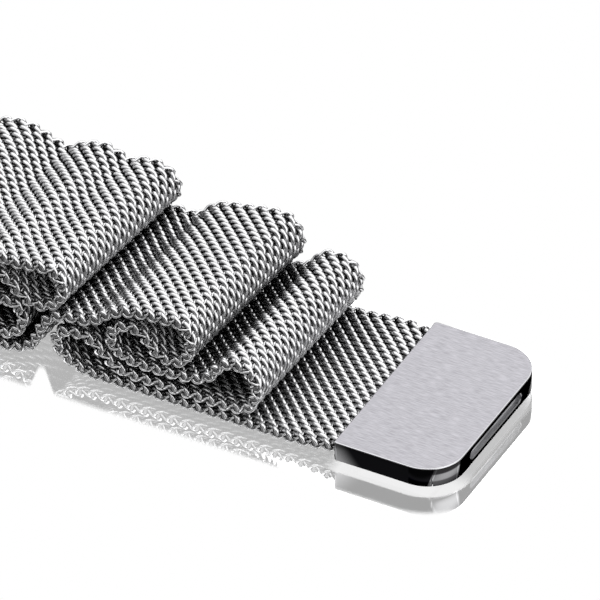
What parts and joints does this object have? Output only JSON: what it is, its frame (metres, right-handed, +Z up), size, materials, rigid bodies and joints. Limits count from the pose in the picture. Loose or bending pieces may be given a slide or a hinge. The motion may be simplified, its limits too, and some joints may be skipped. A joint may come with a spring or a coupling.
{
  "type": "watch band",
  "caption": "Woven steel mesh watch band in two halves: the long half lies in ruffles and ends in a magnetic tab, the short half carries a pivoting ring; quick-release spring bars.",
  "frame": {"origin": "centre of the magnetic tab's flat underside", "axes": "+X along the band towards the tab's tip, +Y across the band, +Z up from the surface that the band lies on"},
  "size_m": [0.1384, 0.0262, 0.0117],
  "materials": {
    "mesh_wire": "bright drawn wire",
    "tab_steel": "hairline brushed top and mirror polished sides",
    "closing_plate": "satin",
    "magnet": "plated and dull",
    "keeper_steel": "dull",
    "slot_strip": "satin",
    "spring_wire": "bright drawn wire",
    "turned_steel": "turned",
    "end_steel": "hairline brushed"
  },
  "bodies": {
    "run_1": {"mesh_run_1": "mesh_wire", "fold_coil_1": "mesh_wire", "tab_pivot_coil": "mesh_wire"},
    "run_2": {"mesh_run_2": "mesh_wire", "fold_coil_2": "mesh_wire"},
    "run_3": {"mesh_run_3": "mesh_wire", "fold_coil_3": "mesh_wire"},
    "run_4": {"mesh_run_4": "mesh_wire", "fold_coil_4": "mesh_wire"},
    "run_5": {"mesh_run_5": "mesh_wire", "fold_coil_5": "mesh_wire"},
    "run_6": {"mesh_run_6": "mesh_wire", "fold_coil_6": "mesh_wire"},
    "run_7": {"mesh_run_7": "mesh_wire", "fold_coil_7": "mesh_wire"},
    "run_8": {"mesh_run_8": "mesh_wire", "fold_coil_8": "mesh_wire"},
    "run_9": {"mesh_run_9": "mesh_wire", "long_pivot_coil": "mesh_wire"},
    "tab": {"tab_housing": "tab_steel", "tab_closing_plate": "closing_plate", "tab_keeper_plate": "keeper_steel", "tab_magnets": "magnet", "tab_slot_strip": "slot_strip", "tab_mesh_end": "mesh_wire"},
    "long_lug": {"long_lug_end": "end_steel", "long_mesh_end": "mesh_wire", "long_bar_tube": "turned_steel", "long_bar_spring": "spring_wire"},
    "long_release": {"long_bar_plunger": "turned_steel", "long_release_lever": "turned_steel"},
    "short_mesh": {"short_mesh_run": "mesh_wire", "ring_barrel": "end_steel", "short_pivot_coil": "mesh_wire"},
    "short_lug": {"short_lug_end": "end_steel", "short_mesh_end": "mesh_wire", "short_bar_tube": "turned_steel", "short_bar_spring": "spring_wire"},
    "short_release": {"short_bar_plunger": "turned_steel", "short_release_lever": "turned_steel"},
    "ring": {"ring_loop": "end_steel", "ring_pin": "turned_steel"}
  },
  "joints": [
    {"name": "tab_flex", "type": "hinge", "parent": "run_1", "child": "tab", "pos_m": [-0.007, 0, 0.00115], "axis": [0, -1, 0], "range_deg": [-50, 50]},
    {"name": "ruffle_open", "type": "hinge", "parent": "run_1", "child": "run_2", "pos_m": [-0.03745, 0, 0.00395], "axis": [0, -1, 0], "range_deg": [0, 45]},
    {"name": "fold_2_open", "type": "hinge", "parent": "run_2", "child": "run_3", "pos_m": [-0.01495, 0, 0.00562], "axis": [0, 1, 0], "range_deg": [0, 45]},
    {"name": "fold_3_open", "type": "hinge", "parent": "run_3", "child": "run_4", "pos_m": [-0.031, 0, 0.00655], "axis": [0, -1, 0], "range_deg": [0, 45]},
    {"name": "fold_4_open", "type": "hinge", "parent": "run_4", "child": "run_5", "pos_m": [-0.022, 0, 0.00875], "axis": [0, 1, 0], "range_deg": [0, 45]},
    {"name": "fold_5_open", "type": "hinge", "parent": "run_5", "child": "run_6", "pos_m": [-0.0563, 0, 0.0042], "axis": [0, -1, 0], "range_deg": [0, 45]},
    {"name": "fold_6_open", "type": "hinge", "parent": "run_6", "child": "run_7", "pos_m": [-0.04095, 0, 0.0054], "axis": [0, 1, 0], "range_deg": [0, 45]},
    {"name": "fold_7_open", "type": "hinge", "parent": "run_7", "child": "run_8", "pos_m": [-0.05045, 0, 0.0063], "axis": [0, -1, 0], "range_deg": [0, 45]},
    {"name": "fold_8_open", "type": "hinge", "parent": "run_8", "child": "run_9", "pos_m": [-0.03625, 0, 0.00995], "axis": [0, 1, 0], "range_deg": [0, 45]},
    {"name": "long_lug_flex", "type": "hinge", "parent": "run_9", "child": "long_lug", "pos_m": [-0.069, 0, 0.00142], "axis": [0, 1, 0], "range_deg": [-50, 50]},
    {"name": "long_release_slide", "type": "slide", "parent": "long_lug", "child": "long_release", "axis": [0, -1, 0], "range_m": [0, 0.0013], "stiffness_N_per_m": 600, "deforming": ["long_bar_spring"]},
    {"name": "short_half_slide", "type": "slide", "parent": "run_1", "child": "short_mesh", "axis": [-1, 0, 0], "range_m": [0, 0.03]},
    {"name": "short_lug_flex", "type": "hinge", "parent": "short_mesh", "child": "short_lug", "pos_m": [-0.0808, 0, 0.00142], "axis": [0, -1, 0], "range_deg": [-50, 50]},
    {"name": "short_release_slide", "type": "slide", "parent": "short_lug", "child": "short_release", "axis": [0, 1, 0], "range_m": [0, 0.0013], "stiffness_N_per_m": 600, "deforming": ["short_bar_spring"]},
    {"name": "ring_pivot", "type": "hinge", "parent": "short_mesh", "child": "ring", "pos_m": [-0.1242, 0, 0.0013], "axis": [0, 1, 0], "range_deg": [-80, 140]}
  ],
  "couplings": [
    {"joint": "fold_2_open", "follows": "ruffle_open", "ratio": 1},
    {"joint": "fold_3_open", "follows": "ruffle_open", "ratio": 1},
    {"joint": "fold_4_open", "follows": "ruffle_open", "ratio": 1},
    {"joint": "fold_5_open", "follows": "ruffle_open", "ratio": 1},
    {"joint": "fold_6_open", "follows": "ruffle_open", "ratio": 1},
    {"joint": "fold_7_open", "follows": "ruffle_open", "ratio": 1},
    {"joint": "fold_8_open", "follows": "ruffle_open", "ratio": 1}
  ]
}
